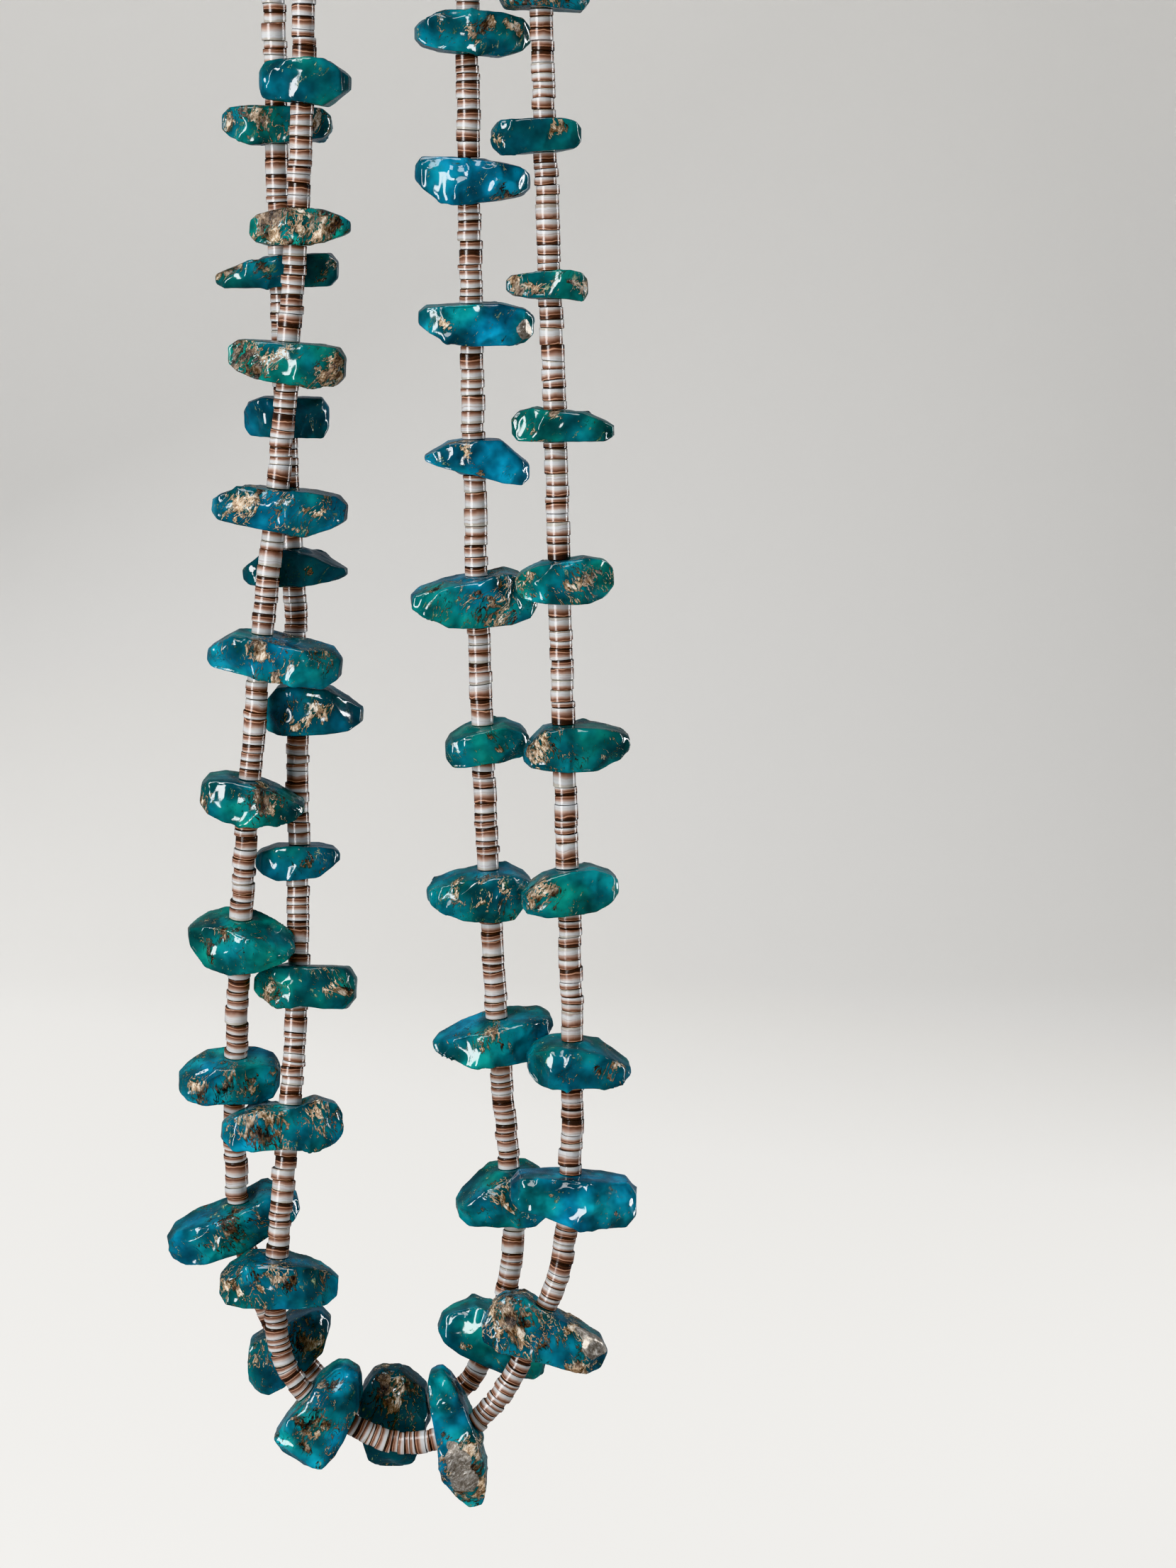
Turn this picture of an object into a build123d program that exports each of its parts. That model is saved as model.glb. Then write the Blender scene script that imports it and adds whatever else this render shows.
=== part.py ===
"""A two-strand necklace of shell heishi and turquoise nuggets, hanging as one long loop.

Each strand is a cotton thread through thin shell discs (heishi), with a drilled nugget every inch.
Both strands end in one two-hole bar clasp at the top. The origin is the middle of the clasp's
underside, where the necklace hangs over a peg. X is across, Y goes from front to back, Z is up.
Lengths are in millimetres.
"""
import os
from math import radians, tan
from typing import NamedTuple

from build123d import *

# Heishi discs and the thread through them
heishi_diameter = 4.0
heishi_bore = 1.0
thread_diameter = 0.6
# Turquoise nuggets: the largest usual stone, whose shares the two tables below hold
nugget_width = 20.0
nugget_height = 8.0
nugget_depth = 12.0
nugget_bore = 1.3
corner_share = 0.13
# Clearances: between a stone and the discs beside it, and between the clasp and the discs
stone_gap = 0.3
clasp_gap = 0.25
# Bar clasp
clasp_length = 10.0
clasp_width = 11.5
clasp_height = 4.6
clasp_edge = 1.2
thread_hole_depth = 2.2
strand_spread = 6.0
# How much of the runs beside a corner its arc takes: with another arc on the run, and without
shared_run = 0.45
free_run = 0.9

front_hole = -strand_spread / 2
back_hole = strand_spread / 2

# The corners of the two strands' paths (x, y, z), from the clasp down the left side, round the
# bottom and up the right side. The first and last are the mouths of the clasp's holes.
inner_path = [
    (-clasp_length / 2, front_hole, 2.1), (-12.5, -3.0, 0.2), (-19.3, -3.0, -6.0), (-22.2, -3.2, -14.8),
    (-21.5, -3.6, -30.5), (-17.6, -4.1, -58.5), (-15.9, -4.3, -87.3), (-17.1, -4.3, -114.4),
    (-18.8, -4.3, -137.3), (-20.7, -4.3, -161.4), (-23.8, -4.3, -187.1), (-26.6, -4.2, -211.8),
    (-28.8, -3.3, -237.7), (-30.8, 0.0, -264.6), (-32.6, 4.8, -297.7), (-28.0, 5.0, -321.5),
    (-16.7, 5.0, -334.6), (-12.3, 5.0, -339.3), (4.9, 5.0, -339.2), (12.2, 5.0, -332.6),
    (19.1, 5.0, -312.4), (16.8, 5.0, -284.3), (14.7, 4.5, -256.4), (13.6, 4.0, -229.2),
    (12.7, 4.0, -204.1), (12.1, 3.5, -177.6), (11.6, 3.0, -154.4), (11.5, 2.5, -130.6),
    (11.2, 2.0, -105.2), (11.2, 1.5, -82.5), (13.4, 0.4, -57.0), (18.9, -1.8, -32.0),
    (22.2, -3.0, -14.8), (19.3, -3.0, -6.0), (12.5, -3.0, 0.2), (clasp_length / 2, front_hole, 2.1),
]
outer_path = [
    (-clasp_length / 2, back_hole, 2.1), (-12.5, 3.0, 0.2), (-19.3, 3.0, -6.0), (-22.2, 3.2, -14.8),
    (-22.9, 3.6, -32.0), (-22.4, 4.1, -63.5), (-21.9, 4.3, -96.6), (-21.8, 4.3, -121.3),
    (-21.4, 4.3, -145.7), (-20.8, 4.3, -171.7), (-19.6, 4.3, -197.0), (-19.8, 4.0, -224.4),
    (-19.7, 2.5, -248.3), (-20.5, -1.5, -272.3), (-22.9, -5.0, -297.3), (-25.0, -5.0, -319.5),
    (-21.6, -5.0, -332.1), (-6.5, -5.0, -341.9), (0.5, -5.0, -343.0), (13.9, -5.0, -339.2),
    (25.9, -5.0, -314.4), (28.0, -5.0, -304.1), (29.2, -5.0, -284.1), (28.9, -5.0, -256.5),
    (27.9, -4.5, -228.5), (27.2, -4.0, -201.4), (26.5, -3.5, -172.8), (25.7, -3.0, -147.4),
    (24.9, -2.5, -123.4), (24.0, -2.0, -98.7), (23.9, -1.5, -75.2), (24.2, 0.0, -52.5),
    (23.4, 2.0, -31.5), (22.2, 3.0, -14.8), (19.3, 3.0, -6.0), (12.5, 3.0, 0.2),
    (clasp_length / 2, back_hole, 2.1),
]


class Nugget(NamedTuple):
    """One stone: where it sits on its strand, and its outline from the front.

    run is the path's run that carries it, and at is the share of that run. left and right are its
    reach from the drilled hole, in shares of nugget_width. top and foot are its outline above and
    below the hole's middle, in shares of nugget_height, at five places from left to right. depth
    is a share of nugget_depth. turn swings the right end back about the hole, and lean tips the
    top face towards the front, both in degrees.
    """
    run: int
    at: float
    left: float
    right: float
    top: tuple
    foot: tuple
    depth: float
    turn: float
    lean: float


inner_nuggets = [
    Nugget(6, 0.53, 0.36, 0.40, (0.38, 0.44, 0.45, 0.48, 0.26), (0.40, 0.42, 0.45, 0.50, 0.26), 0.90, -4, 0),
    Nugget(7, 0.51, 0.40, 0.46, (0.22, 0.34, 0.40, 0.42, 0.30), (0.38, 0.42, 0.38, 0.28, 0.12), 0.90, 4, 0),
    Nugget(8, 0.48, 0.50, 0.50, (0.40, 0.42, 0.42, 0.42, 0.40), (0.28, 0.42, 0.44, 0.45, 0.44), 0.95, -3, 0),
    Nugget(9, 0.49, 0.54, 0.62, (0.18, 0.40, 0.42, 0.48, 0.44), (0.36, 0.42, 0.46, 0.50, 0.26), 0.95, -5, 0),
    Nugget(10, 0.50, 0.45, 0.71, (0.18, 0.46, 0.45, 0.36, 0.32), (0.34, 0.36, 0.38, 0.44, 0.50), 1.00, -6, 5),
    Nugget(11, 0.51, 0.42, 0.49, (0.46, 0.50, 0.46, 0.28, 0.06), (0.30, 0.46, 0.46, 0.40, 0.26), 0.95, 5, 2),
    Nugget(12, 0.52, 0.47, 0.49, (0.45, 0.60, 0.65, 0.54, 0.20), (0.02, 0.40, 0.48, 0.30, 0.12), 0.92, -20, 9),
    Nugget(13, 0.36, 0.50, 0.40, (0.18, 0.44, 0.52, 0.52, 0.45), (0.36, 0.40, 0.40, 0.40, 0.30), 0.90, 8, 5),
    Nugget(14, 0.30, 0.67, 0.56, (0.30, 0.44, 0.54, 0.74, 0.55), (0.48, 0.48, 0.40, 0.15, 0.02), 0.95, 10, 6),
    Nugget(15, 0.47, 0.48, 0.46, (0.24, 0.68, 0.60, 0.52, 0.36), (0.50, 0.58, 0.53, 0.54, 0.28), 0.90, 0, 0),
    Nugget(17, 0.50, 0.39, 0.54, (0.35, 0.74, 0.80, 0.68, 0.45), (0.48, 0.72, 0.78, 0.70, 0.58), 0.90, 0, 0),
    Nugget(19, 0.41, 0.51, 0.53, (0.16, 0.46, 0.52, 0.31, -0.18), (0.59, 0.74, 0.82, 0.88, 0.80), 0.76, 4, 0),
    Nugget(20, 0.46, 0.51, 0.34, (0.20, 0.50, 0.68, 0.66, 0.45), (0.38, 0.40, 0.50, 0.56, 0.40), 0.94, 8, 10),
    Nugget(21, 0.51, 0.59, 0.49, (0.18, 0.36, 0.50, 0.52, 0.50), (0.18, 0.38, 0.46, 0.44, -0.10), 0.95, 12, 6),
    Nugget(22, 0.47, 0.54, 0.39, (0.32, 0.50, 0.58, 0.60, 0.40), (0.20, 0.40, 0.50, 0.48, 0.10), 0.95, 8, 5),
    Nugget(23, 0.52, 0.33, 0.40, (0.18, 0.32, 0.40, 0.44, 0.30), (0.44, 0.42, 0.36, 0.34, 0.30), 0.90, 5, 7),
    Nugget(24, 0.50, 0.58, 0.52, (0.30, 0.45, 0.54, 0.62, 0.46), (0.18, 0.48, 0.52, 0.48, 0.38), 0.95, 9, 4),
    Nugget(25, 0.52, 0.43, 0.48, (0.12, 0.34, 0.39, 0.35, -0.06), (0.14, 0.25, 0.38, 0.56, 0.64), 0.90, 4, 0),
    Nugget(26, 0.49, 0.46, 0.54, (0.41, 0.43, 0.46, 0.46, 0.36), (0.10, 0.36, 0.45, 0.43, 0.39), 1.00, 3, 0),
    Nugget(27, 0.49, 0.46, 0.52, (0.54, 0.53, 0.48, 0.40, 0.28), (0.15, 0.45, 0.48, 0.43, 0.34), 1.00, -3, 0),
    Nugget(28, 0.55, 0.45, 0.53, (0.18, 0.38, 0.38, 0.36, 0.25), (0.35, 0.46, 0.51, 0.58, 0.44), 0.95, 9, 0),
]
outer_nuggets = [
    Nugget(6, 0.49, 0.47, 0.47, (0.38, 0.41, 0.40, 0.39, 0.36), (0.25, 0.41, 0.39, 0.33, 0.29), 0.90, 3, 0),
    Nugget(7, 0.50, 0.55, 0.51, (0.03, 0.20, 0.34, 0.36, 0.37), (0.34, 0.35, 0.34, 0.34, 0.36), 0.85, -2, 0),
    Nugget(8, 0.50, 0.36, 0.38, (0.32, 0.44, 0.43, 0.42, 0.40), (0.40, 0.41, 0.44, 0.46, 0.48), 0.90, 4, 0),
    Nugget(9, 0.52, 0.43, 0.48, (0.12, 0.38, 0.42, 0.22, -0.02), (0.34, 0.39, 0.42, 0.38, 0.33), 0.90, -4, 0),
    Nugget(10, 0.47, 0.29, 0.58, (0.20, 0.50, 0.54, 0.47, 0.17), (0.50, 0.57, 0.58, 0.54, 0.45), 0.95, -5, 0),
    Nugget(11, 0.55, 0.38, 0.37, (0.30, 0.40, 0.40, 0.38, 0.32), (0.20, 0.36, 0.35, 0.29, 0.05), 0.85, 5, 0),
    Nugget(12, 0.46, 0.38, 0.53, (0.27, 0.42, 0.44, 0.46, 0.46), (0.30, 0.38, 0.41, 0.48, 0.48), 0.90, -4, 0),
    Nugget(13, 0.47, 0.59, 0.48, (0.20, 0.38, 0.44, 0.68, 0.56), (0.56, 0.54, 0.48, 0.46, 0.32), 0.85, 10, 2),
    Nugget(14, 0.66, 0.49, 0.57, (0.16, 0.50, 0.54, 0.50, 0.34), (0.53, 0.56, 0.52, 0.48, 0.40), 0.95, 4, 0),
    Nugget(16, 0.39, 0.52, 0.48, (0.62, 0.62, 0.52, 0.47, 0.32), (0.68, 0.76, 0.70, 0.60, 0.34), 0.90, 0, 0),
    Nugget(18, 0.55, 0.63, 0.68, (0.28, 0.42, 0.50, 0.49, 0.32), (0.25, 0.33, 0.41, 0.56, 0.33), 0.85, 0, 0),
    Nugget(19, 0.71, 0.47, 0.66, (0.54, 0.70, 0.60, 0.58, 0.50), (0.67, 0.64, 0.56, 0.44, 0.36), 0.76, 3, 0),
    Nugget(21, 0.36, 0.53, 0.60, (0.52, 0.55, 0.56, 0.52, 0.48), (0.24, 0.30, 0.52, 0.54, 0.54), 0.90, 5, 0),
    Nugget(22, 0.44, 0.40, 0.51, (0.34, 0.48, 0.50, 0.32, 0.02), (0.36, 0.42, 0.44, 0.46, 0.38), 0.90, 6, 7),
    Nugget(23, 0.55, 0.42, 0.44, (0.12, 0.38, 0.50, 0.50, 0.36), (0.42, 0.52, 0.48, 0.44, 0.23), 0.90, 5, 0),
    Nugget(24, 0.47, 0.35, 0.57, (0.14, 0.46, 0.52, 0.48, 0.36), (0.38, 0.44, 0.49, 0.49, 0.26), 0.90, 3, 2),
    Nugget(25, 0.51, 0.38, 0.47, (0.24, 0.39, 0.48, 0.54, 0.44), (0.35, 0.41, 0.47, 0.47, 0.30), 0.90, 6, 0),
    Nugget(26, 0.51, 0.37, 0.51, (0.32, 0.40, 0.33, 0.27, 0.08), (0.31, 0.33, 0.34, 0.35, 0.36), 0.85, -4, 0),
    Nugget(27, 0.49, 0.38, 0.32, (0.22, 0.25, 0.27, 0.28, 0.22), (0.22, 0.29, 0.31, 0.35, 0.40), 0.75, 3, 0),
    Nugget(28, 0.52, 0.45, 0.31, (0.34, 0.34, 0.35, 0.32, 0.25), (0.40, 0.38, 0.36, 0.34, 0.30), 0.85, 4, 0),
    Nugget(29, 0.53, 0.36, 0.40, (0.32, 0.40, 0.42, 0.42, 0.32), (0.38, 0.39, 0.40, 0.44, 0.46), 0.90, 5, 0),
]

# The stones' five outline places along each reach, and how deep the stone is at each of them
outline_places = (-0.85, -0.5, 0.0, 0.5, 0.85)
depth_shares = (0.74, 0.95, 1.0, 0.95, 0.74)
# A stone's small end faces, as a share of the section beside them
end_share = 0.5


def stone_frame(path, stone):
    """The plane at a stone's drilled hole: Z up along the hole, X across to the right, Y back."""
    start, end = Vector(path[stone.run]), Vector(path[stone.run + 1])
    up = (end - start).normalized()
    if up.Z < 0:
        up = -up
    across = Vector(0, 1, 0).cross(up)
    return Plane(origin=start + (end - start) * stone.at, x_dir=across, z_dir=up)


def cut_nugget(path, stone):
    """A tumbled stone: flat facets between rounded sections from left to right, and drilled."""
    frame = stone_frame(path, stone)
    body = frame.rotated((stone.lean, 0, stone.turn))
    sections = []
    for place, top, foot, depth_share in zip(outline_places, stone.top, stone.foot, depth_shares):
        reach = (stone.left if place < 0 else stone.right) * nugget_width
        sections.append((place * reach, top * nugget_height, -foot * nugget_height,
                         depth_share * stone.depth * nugget_depth))
    for index, end in ((0, -stone.left * nugget_width), (-1, stone.right * nugget_width)):
        _, top, foot, depth = sections[index]
        middle, half = (top + foot) / 2, (top - foot) / 2 * end_share
        cap = (end, middle + half, middle - half, depth * end_share)
        sections.insert(0 if index == 0 else len(sections), cap)
    with BuildPart() as nugget:
        for place, top, foot, depth in sections:
            centre = body.from_local_coords(Vector(place, 0, (top + foot) / 2))
            with BuildSketch(Plane(origin=centre, x_dir=body.y_dir, z_dir=body.x_dir)):
                height = top - foot
                RectangleRounded(depth, height, corner_share * min(depth, height))
        loft(ruled=True)
        with Locations(frame.location):
            Hole(nugget_bore / 2)
    return nugget


def seat(stone, travel_up):
    """How far from a stone's middle the discs begin, clear of its slope under their full width."""
    _, left, middle, right, _ = stone.top if travel_up else stone.foot
    rise = max(0, (left - middle) / stone.left, (right - middle) / stone.right) / outline_places[3]
    slope = rise * nugget_height / nugget_width + abs(tan(radians(stone.lean)))
    return middle * nugget_height + slope * heishi_diameter / 2 + stone_gap


def bead_ends(path, stone):
    """Where the discs stop before a stone and start again after it."""
    start, end = Vector(path[stone.run]), Vector(path[stone.run + 1])
    travel = (end - start).normalized()
    middle = start + (end - start) * stone.at
    goes_up = travel.Z > 0
    return middle - travel * seat(stone, not goes_up), middle + travel * seat(stone, goes_up)


def corner_radii(path, stones):
    """The radius of each corner's arc: as large as the runs and stones beside it leave room for."""
    stops = {stone.run: bead_ends(path, stone) for stone in stones}
    radii = []
    for index in range(1, len(path) - 1):
        before, corner, after = (Vector(point) for point in path[index - 1:index + 2])
        room_before = shared_run * (corner - before).length
        if index - 1 in stops:
            room_before = free_run * (corner - stops[index - 1][1]).length
        room_after = shared_run * (after - corner).length
        if index in stops:
            room_after = free_run * (stops[index][0] - corner).length
        half_turn = radians((corner - before).get_angle(after - corner) / 2)
        radii.append(min(room_before, room_after) / tan(half_turn))
    return radii


def string_discs(points, radii):
    """One unbroken run of discs, bored for the thread, along straight lines and tangent arcs."""
    with BuildPart() as run:
        with BuildLine() as line:
            FilletPolyline(*points, radius=radii)
        with BuildSketch(Plane(origin=line.line @ 0, z_dir=line.line % 0)):
            Circle(heishi_diameter / 2)
            Circle(heishi_bore / 2, mode=Mode.SUBTRACT)
        sweep()
    return run


def string_strand(name, path, stones):
    """The nuggets, discs and thread of one strand, each written as its own node."""
    radii = corner_radii(path, stones)
    print(name, "corner radii", [round(radius, 1) for radius in radii])
    for number, stone in enumerate(stones, start=1):
        nugget = cut_nugget(path, stone)
        nugget.part.label = f"{name}_nugget_{number:02d}"
        export_step(nugget.part, f"parts/{nugget.part.label}.step")

    first_out = Vector(path[1]) - Vector(path[0])
    last_in = Vector(path[-2]) - Vector(path[-1])
    dip = radians(first_out.get_angle(Vector(-1, 0, 0)))
    lead = clasp_gap + heishi_diameter / 2 * tan(dip)
    starts = [Vector(path[0]) + first_out.normalized() * lead]
    ends = []
    for stone in stones:
        stop, restart = bead_ends(path, stone)
        ends.append(stop)
        starts.append(restart)
    ends.append(Vector(path[-1]) + last_in.normalized() * lead)
    carried = [1] + [stone.run + 1 for stone in stones] + [len(path) - 1]
    runs = []
    for index, (start, end) in enumerate(zip(starts, ends)):
        first, last = carried[index], carried[index + 1]
        corners = [Vector(point) for point in path[first:last]]
        runs.append(string_discs([start, *corners, end], radii[first - 1:last - 1]))

    with BuildPart() as neck:
        add([runs[0].part, runs[-1].part])
    neck.part.label = f"{name}_neck_heishi"
    export_step(neck.part, f"parts/{neck.part.label}.step")
    with BuildPart() as discs:
        add([run.part for run in runs[1:-1]])
    discs.part.label = f"{name}_heishi"
    export_step(discs.part, f"parts/{discs.part.label}.step")

    hidden = thread_hole_depth - clasp_gap
    tail = Vector(path[0]) - first_out.normalized() * hidden
    tip = Vector(path[-1]) - last_in.normalized() * hidden
    with BuildPart() as thread:
        with BuildLine() as line:
            FilletPolyline(tail, *[Vector(point) for point in path[1:-1]], tip, radius=radii)
        with BuildSketch(Plane(origin=line.line @ 0, z_dir=line.line % 0)):
            Circle(thread_diameter / 2)
        sweep()
    thread.part.label = f"{name}_thread"
    export_step(thread.part, f"parts/{thread.part.label}.step")
    print(name, "thread length", round(sum(edge.length for edge in line.edges()), 1))


os.makedirs("parts", exist_ok=True)

string_strand("inner", inner_path, inner_nuggets)
string_strand("outer", outer_path, outer_nuggets)

# The clasp: a smooth silver bar with a blind hole for each end of each thread
with BuildPart() as clasp:
    Box(clasp_length, clasp_width, clasp_height, align=(Align.CENTER, Align.CENTER, Align.MIN))
    fillet(clasp.edges().filter_by(Axis.X), clasp_edge)
    fillet(clasp.faces().sort_by(Axis.X)[0].edges(), clasp_edge / 2)
    fillet(clasp.faces().sort_by(Axis.X)[-1].edges(), clasp_edge / 2)
    for path in (inner_path, outer_path):
        for mouth, inward in ((path[0], path[1]), (path[-1], path[-2])):
            outward = Vector(inward) - Vector(mouth)
            with Locations(Plane(origin=mouth, z_dir=outward).location):
                Hole(heishi_bore / 2, depth=thread_hole_depth)
clasp.part.label = "clasp"
export_step(clasp.part, "parts/clasp.step")
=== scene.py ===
"""A two-strand necklace of shell heishi and turquoise nuggets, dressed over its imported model."""
import math
import random

import bpy
import numpy as np
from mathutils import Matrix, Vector, noise
from mathutils.bvhtree import BVHTree


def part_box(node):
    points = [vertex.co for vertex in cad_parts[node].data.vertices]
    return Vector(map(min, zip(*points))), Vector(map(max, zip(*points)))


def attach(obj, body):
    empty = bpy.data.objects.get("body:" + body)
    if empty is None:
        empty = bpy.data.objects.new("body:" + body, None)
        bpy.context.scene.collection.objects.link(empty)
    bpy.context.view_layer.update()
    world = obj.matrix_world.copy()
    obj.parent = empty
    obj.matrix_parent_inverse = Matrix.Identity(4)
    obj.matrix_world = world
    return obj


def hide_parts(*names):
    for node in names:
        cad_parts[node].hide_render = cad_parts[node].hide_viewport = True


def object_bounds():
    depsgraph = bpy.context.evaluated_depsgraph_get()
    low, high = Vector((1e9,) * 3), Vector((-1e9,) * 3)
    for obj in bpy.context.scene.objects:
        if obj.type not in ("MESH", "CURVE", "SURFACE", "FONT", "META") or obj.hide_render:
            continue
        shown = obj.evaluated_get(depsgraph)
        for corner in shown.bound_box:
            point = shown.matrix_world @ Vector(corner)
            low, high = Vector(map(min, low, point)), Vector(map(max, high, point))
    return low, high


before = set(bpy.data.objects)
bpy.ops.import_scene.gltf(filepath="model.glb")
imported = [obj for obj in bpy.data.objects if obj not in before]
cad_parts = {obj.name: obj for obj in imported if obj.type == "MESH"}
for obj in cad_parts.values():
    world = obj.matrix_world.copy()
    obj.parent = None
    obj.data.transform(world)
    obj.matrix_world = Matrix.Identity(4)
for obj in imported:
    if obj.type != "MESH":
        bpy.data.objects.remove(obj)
cad_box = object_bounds()

# The view
# The camera stands where the photograph's stood: level with the upper stones, close enough for
# the lower ones to show their top faces, and tipped a little down.
CAMERA_PLACE = (0.0318, -0.5926, -0.1291)
CAMERA_TIP = math.radians(9)
LENS = 78.1
LENS_WIDTH = 36

camera_data = bpy.data.cameras.new("camera")
camera_data.lens = LENS
camera_data.sensor_width = LENS_WIDTH
camera = bpy.data.objects.new("camera", camera_data)
camera.location = CAMERA_PLACE
camera.rotation_euler = (math.radians(90) - CAMERA_TIP, 0, 0)
scene = bpy.context.scene
scene.collection.objects.link(camera)
scene.camera = camera
scene.view_settings.view_transform = "Khronos PBR Neutral"


# The studio
# A pale paper sweep below and behind the necklace, a tall soft light from the front left, a
# narrow strip light on the right, and wide fills from above and from behind.
FLOOR_Z = cad_box[0][2] - 0.10
SWEEP_SIZE = 3.0
SWEEP_BACK = 0.9
SWEEP_BEND = 0.5
BEND_STEPS = 12
SOFT_LIGHTS = {
    "key_softbox": {"place": (-0.62, -0.62, 0.00), "size": (0.26, 0.88), "watts": 11.5, "mirrored": True},
    "edge_strip": {"place": (0.75, 0.30, -0.12), "size": (0.05, 0.90), "watts": 5.0, "mirrored": True},
    "top_fill": {"place": (-0.20, -0.50, 0.80), "size": (0.7, 0.5), "watts": 7.5, "mirrored": True},
    "back_fill": {"place": (-0.50, 0.80, 0.30), "size": (0.6, 0.8), "watts": 5.0, "mirrored": False},
}
LIGHTS_AIM = Vector((0, 0, -0.2))
WORLD_COLOUR = "#dfe3ea"
WORLD_STRENGTH = 0.28


def linear(hex_colour):
    """The linear RGBA of an sRGB hex colour."""
    channels = [int(hex_colour[i:i + 2], 16) / 255 for i in (1, 3, 5)]
    return tuple(c / 12.92 if c <= 0.04045 else ((c + 0.055) / 1.055) ** 2.4 for c in channels) + (1,)


def new_material(name):
    """A material with an empty node tree, and that tree."""
    material = bpy.data.materials.new(name)
    material.use_nodes = True
    material.node_tree.nodes.clear()
    return material, material.node_tree


def add_node(tree, kind, inputs=None, stops=(), **settings):
    """Adds a node with its settings, its ramp's (position, colour) stops, and its inputs set or linked."""
    made = tree.nodes.new(kind)
    for key, value in settings.items():
        setattr(made, key, value)
    for key, value in (inputs or {}).items():
        if isinstance(value, bpy.types.NodeSocket):
            tree.links.new(value, made.inputs[key])
        else:
            made.inputs[key].default_value = value
    for index, (position, colour) in enumerate(stops):
        elements = made.color_ramp.elements
        element = elements[index] if index < 2 else elements.new(position)
        element.position = position
        element.color = linear(colour)
    return made


def link_object(name, data):
    """A new object in the scene."""
    made = bpy.data.objects.new(name, data)
    scene.collection.objects.link(made)
    return made


outline = [(-SWEEP_SIZE, FLOOR_Z), (SWEEP_BACK, FLOOR_Z)]
for step in range(1, BEND_STEPS + 1):
    angle = math.radians(90) * step / BEND_STEPS
    outline.append((SWEEP_BACK + SWEEP_BEND * math.sin(angle),
                    FLOOR_Z + SWEEP_BEND * (1 - math.cos(angle))))
outline.append((SWEEP_BACK + SWEEP_BEND, FLOOR_Z + SWEEP_SIZE))
sweep_mesh = bpy.data.meshes.new("paper_sweep")
sweep_points = [(x, y, z) for y, z in outline for x in (-SWEEP_SIZE, SWEEP_SIZE)]
sweep_faces = [(2 * i, 2 * i + 1, 2 * i + 3, 2 * i + 2) for i in range(len(outline) - 1)]
sweep_mesh.from_pydata(sweep_points, [], sweep_faces)
sweep_mesh.shade_smooth()

# Uncoated studio paper: nearly white and matt, so it mirrors nothing.
paper, tree = new_material("pale_paper")
paper_shader = add_node(tree, "ShaderNodeBsdfPrincipled", {"Base Color": linear("#ebe9e5"), "Roughness": 0.9})
add_node(tree, "ShaderNodeOutputMaterial", {"Surface": paper_shader.outputs[0]})
sweep_mesh.materials.append(paper)
sweep = link_object("paper_sweep", sweep_mesh)
# Kept out of the reflections, so the polish on the stones stays deep
sweep.visible_glossy = False

for name, facts in SOFT_LIGHTS.items():
    light_data = bpy.data.lights.new(name, "AREA")
    light_data.shape = "RECTANGLE"
    light_data.size, light_data.size_y = facts["size"]
    light_data.energy = facts["watts"]
    light = link_object(name, light_data)
    light.location = facts["place"]
    light.rotation_euler = (light.location - LIGHTS_AIM).to_track_quat("Z", "Y").to_euler()
    light.visible_glossy = facts["mirrored"]
world = bpy.data.worlds.new("studio")
world.use_nodes = True
world.node_tree.nodes["Background"].inputs["Color"].default_value = linear(WORLD_COLOUR)
world.node_tree.nodes["Background"].inputs["Strength"].default_value = WORLD_STRENGTH
scene.world = world


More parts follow.
